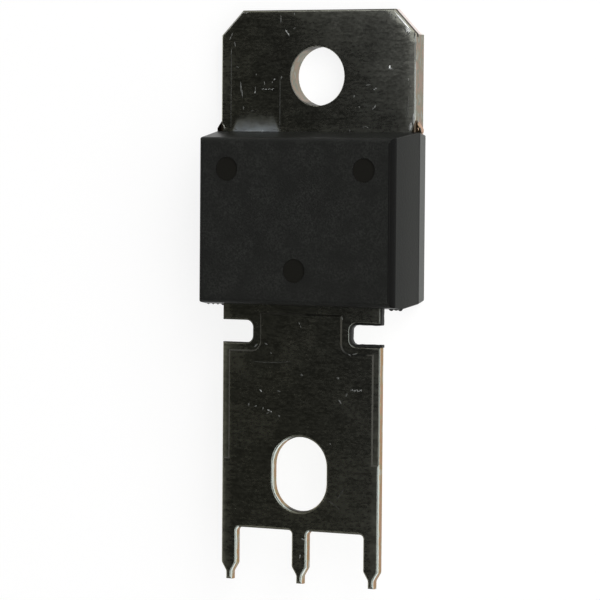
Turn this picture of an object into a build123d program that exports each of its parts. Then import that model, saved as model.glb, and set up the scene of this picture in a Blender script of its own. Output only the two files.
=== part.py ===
from build123d import *
import math
import os

# Power diode in a flat tab package, lying on its back. All sizes are in millimetres.
# Origin: the axis of the tab hole, on the heat-sink face. +X across the width,
# +Y towards the end of the cathode tab, +Z out of the moulded front face.

# Cathode tab and the heat spreader that it becomes inside the body
TAB_THICKNESS = 1.28
TAB_SIDE_INSET = 0.36          # tab's side in from the body's side parting line
TAB_HOLE_DIAMETER = 4.10
TAB_END_TO_HOLE = 4.60         # end edge of the tab to the hole axis
TAB_CHAMFER_X = 1.65           # corner cut, measured along the end edge
TAB_CHAMFER_Y = 1.72           # corner cut, measured along the side edge
TAB_EDGE_ROLL = 0.15           # rounding that the punch leaves on the outer front edges
HOLE_EDGE_ROLL = 0.06          # rounding round the hole's front edge
TAB_ENTRY = 0.45               # full tab width carried into the body
EAR_LENGTH = 0.75              # trimmed frame stubs beside the body, along Y
EAR_STRAIGHT = 0.22            # part of that length that keeps the stub's full width
EAR_THICKNESS = 0.43
SPREADER_END_WALL = 2.95       # resin beyond the inner end of the spreader
SPREADER_SIDE_WALL = 0.92      # resin beside the spreader's rim
RIM_WIDTH = 0.40               # rim that the resin grips behind the exposed pad
RIM_THICKNESS = 0.70

# Moulded body
BODY_WIDTH = 15.68             # across the side parting lines
BODY_LENGTH = 12.05            # between the top and bottom parting lines
BODY_THICKNESS = 4.80
HOLE_TO_BODY = 3.85            # hole axis to the top parting line
DRAFT_ANGLE = 7.5              # degrees, every moulded wall
FRONT_EDGE_RADIUS = 0.40
CORNER_RADIUS = 0.12
EJECTOR_DIAMETER = 1.66
EJECTOR_DEPTH = 0.08
EJECTOR_SIDE_INSET = 2.62      # pit axis to the side parting line
EJECTOR_TOP_INSET = 2.61       # pit axes to the top parting line
EJECTOR_BOTTOM_INSET = 2.50    # single pit axis to the bottom parting line
GATE_WIDTH = 1.30              # broken-off runner stub on the top wall
GATE_HEIGHT = 0.35
GATE_STUB = 0.03               # how far it stands out past the top parting line
GATE_OFFSET = 4.75             # stub to the centre plane

# Anode lead
LEAD_THICKNESS = 0.50
LEAD_COVER = 1.17              # body front face down to the lead's front face
LEAD_ANCHOR = 2.75             # length of lead held in the body
LEAD_PLATE_LENGTH = 15.54      # body to the edge that the pins leave
LEAD_EDGE_ROLL = 0.20
BORDER_EDGE_ROLL = 0.14
ANCHOR_HOLE_DIAMETER = 1.20
ANCHOR_HOLE_INSET = 1.10       # anchor hole axis to the lead's side
SLOT_TO_BODY = 1.06
SLOT_HEIGHT = 1.55
SLOT_DEPTH = 2.32
SLOT_RADIUS = 0.50
BORDER_DEPTH = 0.05            # coined step below the lead's front face
BORDER_WIDTH = 0.51            # along the plate's sides
BORDER_AT_SLOT = 0.60
BORDER_AT_BODY = 0.50
BORDER_BEND_RADIUS = 0.65      # bend of the step round a slot's inner corner
BORDER_STEP_RUN = 0.11         # width of the sloping step, seen from the front
BORDER_TO_PLATE_END = 4.87
OVAL_WIDTH = 4.02
OVAL_LENGTH = 5.15
OVAL_TO_PLATE_END = 3.93

# Board pins, blanked with the lead
PIN_COUNT = 3
PIN_PITCH = 5.45
PIN_WIDTH = 1.22
PIN_LENGTH = 3.68
PIN_FILLET = 0.30
PIN_TAPER_LENGTH = 0.60
PIN_TIP_LENGTH = 0.55
PIN_TIP_WIDTH = 0.50
PIN_BEND_RADIUS = 0.30         # rounding where the taper starts and ends

# Silicon die, its solder and the bond wires
DIE_MARGIN = 0.65              # spreader left bare above and below the die
DIE_THICKNESS = 0.30
SOLDER_THICKNESS = 0.08
SOLDER_RIM = 0.12
WIRE_COUNT = 6
WIRE_EDGE_INSET = 0.82         # outer wires' axes to the die's sides
WIRE_DIAMETER = 0.50
WIRE_COVER = 0.40              # resin over the wire loops
WIRE_FOOT_LENGTH = 0.90
WIRE_FOOT_SQUASH = 0.05        # how far a bonded foot is pressed flat
WIRE_DIE_INSET = 2.60          # die's lower edge to the start of the die foot
WIRE_LEAD_INSET = 0.55         # lead's inner edge to the start of the lead foot

# Places worked out from the sizes above
BODY_TOP_Y = -HOLE_TO_BODY
BODY_BOTTOM_Y = BODY_TOP_Y - BODY_LENGTH
SLOPE = math.tan(math.radians(DRAFT_ANGLE))
TAB_HALF = BODY_WIDTH / 2 - TAB_SIDE_INSET
SPREADER_START_Y = BODY_TOP_Y - TAB_ENTRY
SPREADER_END_Y = BODY_BOTTOM_Y + SPREADER_END_WALL
LEAD_FRONT_Z = BODY_THICKNESS - LEAD_COVER
LEAD_BACK_Z = LEAD_FRONT_Z - LEAD_THICKNESS
LEAD_COINED_Z = LEAD_FRONT_Z - BORDER_DEPTH
LEAD_HALF = ((PIN_COUNT - 1) * PIN_PITCH + PIN_WIDTH) / 2
ANCHOR_END_Y = BODY_BOTTOM_Y + LEAD_ANCHOR
PLATE_END_Y = BODY_BOTTOM_Y - LEAD_PLATE_LENGTH
DIE_SIDE = SPREADER_START_Y - SPREADER_END_Y - 2 * DIE_MARGIN
DIE_CENTRE_Y = (SPREADER_START_Y + SPREADER_END_Y) / 2
DIE_TOP_Z = TAB_THICKNESS + SOLDER_THICKNESS + DIE_THICKNESS
ON_BASE = (Align.CENTER, Align.CENTER, Align.MIN)
OVER = 1.0                     # how far a cutting tool reaches past what it cuts
NEAR = 1e-3                    # tolerance for picking edges by their place


def prism(points, bottom_z, height, taper=0):
    """Upright prism over a polygon of (x, y) points."""
    face = make_face(Polyline(*points, close=True))
    return extrude(Pos(0, 0, bottom_z) * face, amount=height, taper=taper)


def front_edges(solid, level):
    """Edges that lie flat at one height."""
    return solid.edges().filter_by_position(Axis.Z, level - NEAR, level + NEAR)


def tab_blade():
    """Chamfered end of the tab with its screw hole and punched front edges."""
    outline = [
        (-TAB_HALF, SPREADER_START_Y),
        (TAB_HALF, SPREADER_START_Y),
        (TAB_HALF, TAB_END_TO_HOLE - TAB_CHAMFER_Y),
        (TAB_HALF - TAB_CHAMFER_X, TAB_END_TO_HOLE),
        (-TAB_HALF + TAB_CHAMFER_X, TAB_END_TO_HOLE),
        (-TAB_HALF, TAB_END_TO_HOLE - TAB_CHAMFER_Y),
    ]
    blade = prism(outline, 0, TAB_THICKNESS)
    rolled = front_edges(blade, TAB_THICKNESS).filter_by(
        lambda edge: edge.center().Y > SPREADER_START_Y + NEAR)
    blade = fillet(rolled, TAB_EDGE_ROLL)
    blade -= extrude(Circle(TAB_HOLE_DIAMETER / 2), amount=TAB_THICKNESS)
    rim = front_edges(blade, TAB_THICKNESS).filter_by(GeomType.CIRCLE)
    return fillet(rim, HOLE_EDGE_ROLL)


def tab_ears():
    """Trimmed frame stubs that widen the tab's front half beside the body."""
    outline = [
        (-TAB_HALF, SPREADER_START_Y),
        (TAB_HALF, SPREADER_START_Y),
        (BODY_WIDTH / 2, BODY_TOP_Y),
        (BODY_WIDTH / 2, BODY_TOP_Y + EAR_STRAIGHT),
        (TAB_HALF, BODY_TOP_Y + EAR_LENGTH),
        (-TAB_HALF, BODY_TOP_Y + EAR_LENGTH),
        (-BODY_WIDTH / 2, BODY_TOP_Y + EAR_STRAIGHT),
        (-BODY_WIDTH / 2, BODY_TOP_Y),
    ]
    return prism(outline, TAB_THICKNESS - TAB_EDGE_ROLL - EAR_THICKNESS, EAR_THICKNESS)


def heat_spreader():
    """Exposed pad under the die, with the rim that locks it in the resin."""
    rim_half = BODY_WIDTH / 2 - SPREADER_SIDE_WALL
    rim = spreader_slab(rim_half, SPREADER_END_Y, TAB_THICKNESS - RIM_THICKNESS)
    pad = spreader_slab(rim_half - RIM_WIDTH, SPREADER_END_Y + RIM_WIDTH, 0)
    return pad + rim


def spreader_slab(half_width, end_y, bottom_z):
    """Slab from the tab's inner end to one end, up to the tab's front face."""
    return Pos(0, (SPREADER_START_Y + end_y) / 2, bottom_z) * Box(
        2 * half_width, SPREADER_START_Y - end_y, TAB_THICKNESS - bottom_z, align=ON_BASE)


def cathode_tab():
    return tab_blade() + tab_ears() + heat_spreader()


def lead_outline(height):
    """Lead blank: anchor, plate and pins, with the slots and the oval hole."""
    blank = Pos(0, (ANCHOR_END_Y + PLATE_END_Y) / 2, 0) * Box(
        2 * LEAD_HALF, ANCHOR_END_Y - PLATE_END_Y, height, align=ON_BASE)
    for number in range(PIN_COUNT):
        centre_x = number * PIN_PITCH + PIN_WIDTH / 2 - LEAD_HALF
        blank += Pos(centre_x, 0, 0) * board_pin(height)
    crotches = blank.edges().filter_by(Axis.Z).filter_by(
        lambda edge: abs(edge.center().Y - PLATE_END_Y) < NEAR
        and abs(edge.center().X) < LEAD_HALF - NEAR)
    blank = fillet(crotches, PIN_FILLET)
    anchor_hole = extrude(Circle(ANCHOR_HOLE_DIAMETER / 2), amount=height)
    for side in (-1, 1):
        blank -= side_slot(side, height)
        blank -= Pos(side * (LEAD_HALF - ANCHOR_HOLE_INSET),
                     BODY_BOTTOM_Y + LEAD_ANCHOR / 2, 0) * anchor_hole
    oval = SlotOverall(OVAL_LENGTH, OVAL_WIDTH, rotation=90)
    return blank - Pos(0, PLATE_END_Y + OVAL_TO_PLATE_END, 0) * extrude(oval, amount=height)


def board_pin(height):
    """One flat pin, narrowed to a blunt tip."""
    tip_y = PLATE_END_Y - PIN_LENGTH
    neck_y = tip_y + PIN_TIP_LENGTH
    shoulder_y = neck_y + PIN_TAPER_LENGTH
    wide = PIN_WIDTH / 2
    slim = PIN_TIP_WIDTH / 2
    outline = [
        (-wide, PLATE_END_Y),
        (-wide, shoulder_y),
        (-slim, neck_y),
        (-slim, tip_y),
        (slim, tip_y),
        (slim, neck_y),
        (wide, shoulder_y),
        (wide, PLATE_END_Y),
    ]
    pin = prism(outline, 0, height)
    bends = pin.edges().filter_by(Axis.Z).filter_by(
        lambda edge: neck_y - NEAR < edge.center().Y < shoulder_y + NEAR)
    return fillet(bends, PIN_BEND_RADIUS)


def side_slot(side, height):
    """Open slot into one side of the plate, round at its inner corners."""
    centre_y = BODY_BOTTOM_Y - SLOT_TO_BODY - SLOT_HEIGHT / 2
    length = SLOT_DEPTH + OVER
    shape = RectangleRounded(length, SLOT_HEIGHT, SLOT_RADIUS)
    return Pos(side * (LEAD_HALF - SLOT_DEPTH + length / 2), centre_y, 0) * extrude(
        shape, amount=height)


def rolled_blank(height, roll):
    """Lead blank whose front edges carry the punch rounding."""
    blank = lead_outline(height)
    rolled = front_edges(blank, height).filter_by(
        lambda edge: edge.center().Y < ANCHOR_END_Y - NEAR)
    return Pos(0, 0, LEAD_BACK_Z) * fillet(rolled, roll)


def raised_outline(inset):
    """Plan of the full-height middle, foot and pins, drawn in along the border."""
    waist = LEAD_HALF - SLOT_DEPTH - BORDER_AT_SLOT - inset
    side = LEAD_HALF - BORDER_WIDTH - inset
    shoulder_y = BODY_BOTTOM_Y - SLOT_TO_BODY - SLOT_HEIGHT - BORDER_WIDTH - inset
    border_end_y = PLATE_END_Y + BORDER_TO_PLATE_END - inset
    past_side = LEAD_HALF + OVER
    past_pins_y = PLATE_END_Y - PIN_LENGTH - OVER
    right = [
        (waist, BODY_BOTTOM_Y - BORDER_AT_BODY - inset),
        (waist, shoulder_y),
        (side, shoulder_y),
        (side, border_end_y),
        (past_side, border_end_y),
        (past_side, past_pins_y),
    ]
    left = [(-x, y) for x, y in right]
    face = make_face(Polyline(*left, *right[::-1], close=True))
    bends = face.vertices().filter_by(
        lambda corner: abs(abs(corner.X) - waist) < NEAR and abs(corner.Y - shoulder_y) < NEAR)
    return fillet(bends, BORDER_BEND_RADIUS + inset)


def raised_area():
    """What the coining leaves at full height, above a sloping step."""
    foot = Pos(0, 0, LEAD_COINED_Z) * raised_outline(0)
    top = Pos(0, 0, LEAD_FRONT_Z) * raised_outline(BORDER_STEP_RUN)
    return loft([foot, top], ruled=True)


def anode_lead():
    """Full blank at the coined height, plus the raised area at full height."""
    coined = rolled_blank(LEAD_THICKNESS - BORDER_DEPTH, BORDER_EDGE_ROLL)
    full = rolled_blank(LEAD_THICKNESS, LEAD_EDGE_ROLL)
    return coined + (full & raised_area())


def body_blank():
    """Moulded block: drafted away from the parting line on every wall."""
    half = BODY_WIDTH / 2
    front_rise = (BODY_THICKNESS - TAB_THICKNESS) * SLOPE
    back_rise = TAB_THICKNESS * SLOPE
    lead_parting_z = (LEAD_FRONT_Z + LEAD_BACK_Z) / 2
    across = [
        (-half + back_rise, 0),
        (half - back_rise, 0),
        (half, TAB_THICKNESS),
        (half - front_rise, BODY_THICKNESS),
        (-half + front_rise, BODY_THICKNESS),
        (-half, TAB_THICKNESS),
    ]
    along = [
        (BODY_TOP_Y - back_rise, 0),
        (BODY_TOP_Y, TAB_THICKNESS),
        (BODY_TOP_Y - front_rise, BODY_THICKNESS),
        (BODY_BOTTOM_Y + (BODY_THICKNESS - lead_parting_z) * SLOPE, BODY_THICKNESS),
        (BODY_BOTTOM_Y, lead_parting_z),
        (BODY_BOTTOM_Y + lead_parting_z * SLOPE, 0),
    ]
    long_block = extrude(
        make_face(Plane.XZ * Polyline(*across, close=True)), amount=-BODY_BOTTOM_Y)
    wide_block = extrude(
        make_face(Plane.YZ * Polyline(*along, close=True)), amount=half, both=True)
    block = long_block & wide_block
    block = fillet(front_edges(block, BODY_THICKNESS), FRONT_EDGE_RADIUS)
    uprights = block.edges().filter_by(
        lambda edge: abs(edge.center().X) > half - front_rise - NEAR
        and abs(edge.tangent_at(0.5).Z) > math.cos(math.pi / 4))
    return fillet(uprights, CORNER_RADIUS)


def ejector_pits():
    """Shallow round marks of the mould's ejector pins in the front face."""
    side_x = BODY_WIDTH / 2 - EJECTOR_SIDE_INSET
    top_y = BODY_TOP_Y - EJECTOR_TOP_INSET
    bottom_y = BODY_BOTTOM_Y + EJECTOR_BOTTOM_INSET
    pit = extrude(Circle(EJECTOR_DIAMETER / 2), amount=EJECTOR_DEPTH + OVER)
    floor_z = BODY_THICKNESS - EJECTOR_DEPTH
    return [Pos(x, y, floor_z) * pit
            for x, y in ((-side_x, top_y), (side_x, top_y), (0, bottom_y))]


def gate_stub():
    """Broken-off stub where the runner on the tab fed the mould."""
    length = GATE_HEIGHT + GATE_STUB
    return Pos(-GATE_OFFSET, BODY_TOP_Y + GATE_STUB - length / 2, TAB_THICKNESS) * Box(
        GATE_WIDTH, length, GATE_HEIGHT, align=ON_BASE)


def silicon_die():
    return Pos(0, DIE_CENTRE_Y, DIE_TOP_Z - DIE_THICKNESS) * Box(
        DIE_SIDE, DIE_SIDE, DIE_THICKNESS, align=ON_BASE)


def die_attach_solder():
    side = DIE_SIDE + 2 * SOLDER_RIM
    return Pos(0, DIE_CENTRE_Y, TAB_THICKNESS) * Box(
        side, side, SOLDER_THICKNESS, align=ON_BASE)


def bond_wire(x, die, lead):
    """Heavy wire looped from the die up to the lead, with a flat foot on each."""
    radius = WIRE_DIAMETER / 2
    foot_lift = radius - WIRE_FOOT_SQUASH
    die_z = DIE_TOP_Z + foot_lift
    lead_z = LEAD_COINED_Z + foot_lift
    loop_z = BODY_THICKNESS - WIRE_COVER - radius
    die_foot_y = DIE_CENTRE_Y - DIE_SIDE / 2 + WIRE_DIE_INSET
    lead_foot_y = ANCHOR_END_Y - WIRE_LEAD_INSET
    rise_y = die_foot_y - WIRE_FOOT_LENGTH
    loop_y = (rise_y + 2 * lead_foot_y) / 3
    points = [
        (x, die_foot_y, die_z),
        (x, rise_y, die_z),
        (x, loop_y, loop_z),
        (x, lead_foot_y, lead_z),
        (x, lead_foot_y - WIRE_FOOT_LENGTH, lead_z),
    ]
    path = FilletPolyline(*points, radius=WIRE_DIAMETER)
    section = Plane(points[0], z_dir=(0, -1, 0)) * Circle(radius)
    return sweep(section, path=path) - die - lead


def bond_wires(die, lead):
    first_x = WIRE_EDGE_INSET - DIE_SIDE / 2
    pitch = -2 * first_x / (WIRE_COUNT - 1)
    return [bond_wire(first_x + number * pitch, die, lead) for number in range(WIRE_COUNT)]


def epoxy_body(buried):
    """Moulded resin round everything that it buries."""
    body = body_blank() + gate_stub()
    for pit in ejector_pits():
        body -= pit
    for piece in buried:
        body -= piece
    return body


def single_solid(shape):
    """The one solid of a finished piece."""
    solids = shape.solids()
    if len(solids) != 1:
        raise ValueError(f"expected one solid, got {len(solids)}")
    return solids[0]


tab = cathode_tab()
lead = anode_lead()
die = silicon_die()
solder = die_attach_solder()
wires = bond_wires(die, lead)
nodes = {
    "cathode_tab": tab,
    "anode_lead": lead,
    "epoxy_body": epoxy_body([tab, lead, solder, die] + wires),
    "silicon_die": die,
    "die_attach_solder": solder,
}
for number, wire in enumerate(wires, start=1):
    nodes[f"bond_wire_{number}"] = wire

os.makedirs("parts", exist_ok=True)
for name, shape in nodes.items():
    piece = single_solid(shape)
    piece.label = name
    export_step(piece, f"parts/{name}.step")
    print(f"{name}: {piece.volume:.3f} mm3")
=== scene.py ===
# %% [markdown]
# # A power diode in a flat tab package
# The real part is a copper tab and a wide copper lead, both nickel plated, with a block of black
# resin moulded round the place where they meet. The CAD model already has those shapes. This
# lesson gives them their finishes, and adds the small things that a press and a mould leave
# behind: witness lines, scuffs, flash and burrs. Every size here is in metres, because Blender
# works in metres, and MM turns the maker's millimetres into them.

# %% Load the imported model
import functools
import math

import bmesh
import bpy
from mathutils import Euler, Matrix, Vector


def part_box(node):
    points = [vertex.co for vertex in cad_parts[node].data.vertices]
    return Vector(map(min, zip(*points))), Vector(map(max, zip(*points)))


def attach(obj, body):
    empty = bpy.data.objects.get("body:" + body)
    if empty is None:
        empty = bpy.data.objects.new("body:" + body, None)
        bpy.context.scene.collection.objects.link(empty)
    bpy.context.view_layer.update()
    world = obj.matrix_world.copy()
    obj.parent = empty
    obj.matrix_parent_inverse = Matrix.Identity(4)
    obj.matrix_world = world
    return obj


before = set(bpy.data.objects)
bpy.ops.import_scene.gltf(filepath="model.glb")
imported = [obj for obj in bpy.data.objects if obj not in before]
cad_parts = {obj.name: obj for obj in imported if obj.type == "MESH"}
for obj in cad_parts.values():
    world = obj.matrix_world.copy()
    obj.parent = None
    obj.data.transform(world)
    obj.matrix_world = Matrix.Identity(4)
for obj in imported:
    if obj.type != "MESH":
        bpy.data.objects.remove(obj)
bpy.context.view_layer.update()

MM = 0.001
print("nodes:", ", ".join(sorted(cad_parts)))

# %% [markdown]
# ## Where things are
# Nothing below is placed by eye. The script reads the box of each CAD node from its mesh, so the faces
# that the finishes and marks need are read from those boxes once, and named.

# %% Read the faces that matter
_, tab_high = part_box("cathode_tab")
body_low, body_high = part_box("epoxy_body")
_, lead_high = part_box("anode_lead")
TAB_FACE = tab_high.z
LEAD_FACE = lead_high.z
BODY_FACE = body_high.z
TAB_SIDE_INSET = 0.36  # mm, from the trimmed stubs beside the body in to the tab's side
TAB_HALF = tab_high.x / MM - TAB_SIDE_INSET
TAB_END = tab_high.y / MM
LEAD_HALF = lead_high.x / MM
BODY_TOP = body_high.y / MM
BODY_BOTTOM = body_low.y / MM
print(f"tab face {TAB_FACE / MM:.2f} mm, lead face {LEAD_FACE / MM:.2f} mm, "
      f"body face {BODY_FACE / MM:.2f} mm above the floor")

# %% [markdown]
# ## The camera
# The part lies on its back and is seen from above, with the lens leaning over to its right side,
# so the sheared right edges show. The lens is long, as it is for small parts: a long lens keeps
# the pins as large as the tab. Three turns and a place are enough to say where a camera is.

# %% Place the camera
LENS = 189.02  # mm
SENSOR = 36.0  # mm
CAMERA_PLACE = (94.592, -4.501, 198.674)  # mm
CAMERA_TURN = (-2.666, 25.908, 0.511)  # degrees

camera = bpy.data.objects.new("camera", bpy.data.cameras.new("camera"))
bpy.context.scene.collection.objects.link(camera)
camera.location = Vector(CAMERA_PLACE) * MM
camera.rotation_euler = Euler([math.radians(turn) for turn in CAMERA_TURN])
camera.data.lens = LENS
camera.data.sensor_width = SENSOR
camera.data.clip_start = 0.01
bpy.context.scene.camera = camera
print(f"the camera stands {camera.location.length:.3f} m from the tab hole")

# %% [markdown]
# ## Shader helpers
# A material is a small graph. These helpers keep each graph readable: one adds a node, one feeds
# a socket with either a number or another node's output, and the rest are the few sums and
# patterns that the finishes share. Patterns are measured in millimetres of the part itself, so a
# grain of 0.1 mm stays 0.1 mm on every piece.

# %% Add a node, feed a socket
def add(tree, kind, **settings):
    made = tree.nodes.new(kind)
    for name, value in settings.items():
        setattr(made, name, value)
    return made


def feed(tree, socket, value):
    if isinstance(value, bpy.types.NodeSocket):
        tree.links.new(value, socket)
    else:
        socket.default_value = value


def start_finish(name):
    """A new material with its node tree and its shader."""
    finish = bpy.data.materials.new(name)
    finish.use_nodes = True
    return finish, finish.node_tree, finish.node_tree.nodes["Principled BSDF"]


# %% Sums of sockets
def calc(tree, sum_kind, first, second=0.0):
    made = add(tree, "ShaderNodeMath", operation=sum_kind)
    feed(tree, made.inputs[0], first)
    feed(tree, made.inputs[1], second)
    return made.outputs[0]


def times(tree, *values):
    return functools.reduce(lambda first, second: calc(tree, "MULTIPLY", first, second), values)


def plus(tree, *values):
    return functools.reduce(lambda first, second: calc(tree, "ADD", first, second), values)


def minus(tree, first, second):
    return calc(tree, "SUBTRACT", first, second)


def fade(tree, value, start, end, low=0.0, high=1.0):
    """Goes smoothly from low to high while value goes from start to end, either way round."""
    made = add(tree, "ShaderNodeMapRange", interpolation_type="SMOOTHSTEP")
    feed(tree, made.inputs["Value"], value)
    feed(tree, made.inputs["From Min"], start)
    feed(tree, made.inputs["From Max"], end)
    feed(tree, made.inputs["To Min"], low)
    feed(tree, made.inputs["To Max"], high)
    return made.outputs["Result"]


def blend_colours(tree, share, first, second):
    made = add(tree, "ShaderNodeMix", data_type="RGBA")
    feed(tree, made.inputs["Factor"], share)
    feed(tree, made.inputs["A"], (*first, 1.0) if isinstance(first, tuple) else first)
    feed(tree, made.inputs["B"], (*second, 1.0) if isinstance(second, tuple) else second)
    return made.outputs["Result"]


def paint(tree, colour, patches):
    """Lays each patch over the colour so far. A patch says where it lies, and its colour."""
    for share, patch_colour in patches:
        colour = blend_colours(tree, share(tree), colour, patch_colour)
    return colour


# %% Patterns and places measured in millimetres
def split(tree, vector):
    made = add(tree, "ShaderNodeSeparateXYZ")
    feed(tree, made.inputs[0], vector)
    return made.outputs[0], made.outputs[1], made.outputs[2]


def millimetres(tree, stretch=(1.0, 1.0, 1.0)):
    """The place on the part in millimetres, each axis multiplied by its stretch."""
    place = add(tree, "ShaderNodeTexCoord").outputs["Object"]
    made = add(tree, "ShaderNodeVectorMath", operation="MULTIPLY")
    feed(tree, made.inputs[0], place)
    feed(tree, made.inputs[1], tuple(factor / MM for factor in stretch))
    return made.outputs[0]


def where(tree):
    """X, Y and Z in millimetres."""
    return split(tree, millimetres(tree))


def cloud(tree, place, per_mm, detail=2.0):
    """Soft noise between 0 and 1 with so many waves in a millimetre."""
    made = add(tree, "ShaderNodeTexNoise")
    feed(tree, made.inputs["Vector"], place)
    feed(tree, made.inputs["Scale"], per_mm)
    feed(tree, made.inputs["Detail"], detail)
    return made.outputs["Fac"]


def relief(tree, height, depth_mm, below=None):
    """Turns a height between 0 and 1 into a bumped normal of that depth."""
    made = add(tree, "ShaderNodeBump")
    made.inputs["Distance"].default_value = depth_mm * MM
    feed(tree, made.inputs["Height"], height)
    if below is not None:
        feed(tree, made.inputs["Normal"], below)
    return made.outputs["Normal"]


print("shader helpers are ready")

# %% [markdown]
# ## Nickel over copper
# The strip is plated before it is punched, so its faces are nickel and its sheared sides are bare
# copper. The die drags some plating round the front edge, which leaves a pale rolled band above
# the copper. One material can do all three, because they differ in which way the surface faces:
# flat up or down is a plated face, sideways is a sheared wall, and in between is the roll. Each
# function below answers one question about a point, with 1 for yes and 0 for no.

# %% Which way a surface faces
def turned(tree, kind="Normal"):
    """How far it faces right, up the strip and to the front, each from -1 to 1."""
    return split(tree, add(tree, "ShaderNodeNewGeometry").outputs[kind])


def facing(tree):
    """The same three, whatever their sign."""
    return [calc(tree, "ABSOLUTE", part) for part in turned(tree)]


def true_level(tree):
    """How level the facet itself is, with no smoothing across edges: 0 on a wall."""
    return calc(tree, "ABSOLUTE", turned(tree, "True Normal")[2])


def crisp_normal(tree):
    """The smoothed normal, but the facet's own on walls, so they stay flat up to the edge."""
    shape = add(tree, "ShaderNodeNewGeometry").outputs
    made = add(tree, "ShaderNodeMix", data_type="VECTOR")
    feed(tree, made.inputs["Factor"], fade(tree, true_level(tree), 0.08, 0.02))
    feed(tree, made.inputs["A"], shape["Normal"])
    feed(tree, made.inputs["B"], shape["True Normal"])
    return made.outputs["Result"]


# %% Walls, rolled edges and steps
def wall_share(tree):
    """The sheared wall and the steep part of its roll. The border between them wanders."""
    wander = fade(tree, cloud(tree, millimetres(tree), 0.9, 2.0), 0.3, 0.7, -0.09, 0.09)
    return fade(tree, plus(tree, facing(tree)[2], wander), 0.72, 0.58)


def roll_share(tree):
    """Any rolled edge."""
    level = facing(tree)[2]
    return times(tree, fade(tree, level, 0.10, 0.22), fade(tree, level, 0.998, 0.96))


def right_roll_share(tree):
    """A rolled edge that faces right, where the light falls: painted light, as only these rolls get matt
    colours of their own.
    """
    roll = times(tree, fade(tree, facing(tree)[2], 0.992, 0.968), minus(tree, 1.0, wall_share(tree)))
    return times(tree, roll, fade(tree, turned(tree)[0], 0.08, 0.22))


def shoulder_roll_painted_highlight(tree):
    """Painted highlight: the part of it that faces down the strip too, towards the open side, is painted
    brighter.
    """
    return times(tree, right_roll_share(tree), fade(tree, turned(tree)[1], -0.12, -0.40))


def step_share(tree):
    """The sloping step of the coined border, which leans about 24 degrees."""
    level = facing(tree)[2]
    return times(tree, fade(tree, level, 0.86, 0.895), fade(tree, level, 0.96, 0.925))


def left_step_painted_highlight(tree):
    """Painted highlight: that step where it faces left is painted lighter. A half where it faces along the
    part.
    """
    return times(tree, step_share(tree), fade(tree, turned(tree)[0], 0.40, -0.40))


def cross_cut_painted_shade(tree):
    """Painted shade: a cut that runs across the strip is painted dark, unlike a cut along it."""
    across, along, level = facing(tree)
    slant = calc(tree, "DIVIDE", across, calc(tree, "MAXIMUM", along, 0.001))
    return times(tree, fade(tree, level, 0.92, 0.75), fade(tree, slant, 0.75, 0.35))


# %% Brushed nickel for the faces
NICKEL = (0.62, 0.63, 0.56)
NICKEL_DULL = (0.49, 0.498, 0.44)
OLIVE = (0.60, 0.60, 0.46)
OLIVE_DULL = (0.46, 0.46, 0.345)


def brushing(tree):
    """Fine short lines that run across the part's width."""
    fine = cloud(tree, millimetres(tree, (4.0, 8.0, 1.0)), 1.0, 3.0)
    broad = cloud(tree, millimetres(tree, (0.9, 5.0, 1.0)), 1.0, 2.0)
    return plus(tree, times(tree, fine, 0.65), times(tree, broad, 0.35))


def tarnish(tree):
    """The plating has gone olive on the left and towards the pins."""
    x, y, _ = where(tree)
    return fade(tree, plus(tree, x, times(tree, y, 0.25)), 6.5, -9.0)


def smudges(tree):
    """Where hands and trays have dulled the plating."""
    return fade(tree, cloud(tree, millimetres(tree), 0.35, 4.0), 0.42, 0.70)


# %% Bare copper for the sheared walls
TAB_COPPER = ((0.25, 0.225, 0.165), (0.31, 0.24, 0.19), (0.21, 0.235, 0.19), (0.30, 0.30, 0.26))
LEAD_COPPER = ((0.33, 0.215, 0.10), (0.37, 0.23, 0.14), (0.30, 0.27, 0.15), (0.36, 0.33, 0.26))


def copper_colour(tree, tan, pink, verdigris, smear):
    """Patches of tan and pink, tarnish in spots, and nickel that the punch smeared down."""
    patches = cloud(tree, millimetres(tree, (1.0, 1.0, 2.5)), 1.1, 3.0)
    spots = cloud(tree, millimetres(tree, (1.0, 1.0, 1.6)), 2.3, 2.0)
    colour = blend_colours(tree, fade(tree, patches, 0.42, 0.60), tan, pink)
    colour = blend_colours(tree, fade(tree, spots, 0.54, 0.66), colour, verdigris)
    return blend_colours(tree, fade(tree, patches, 0.46, 0.36), colour, smear)


# %% The plated finish as one function
FACE_ROUGHNESS = 0.22
WALL_ROUGHNESS = 0.48
ROLL_ROUGHER = 0.30  # a roll is so much rougher than a face
SMUDGE_ROUGHER = 0.04
BRUSH_DEPTH = 0.003  # mm
SHEAR_DEPTH = 0.02  # mm, of the upright lines on the walls


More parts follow.
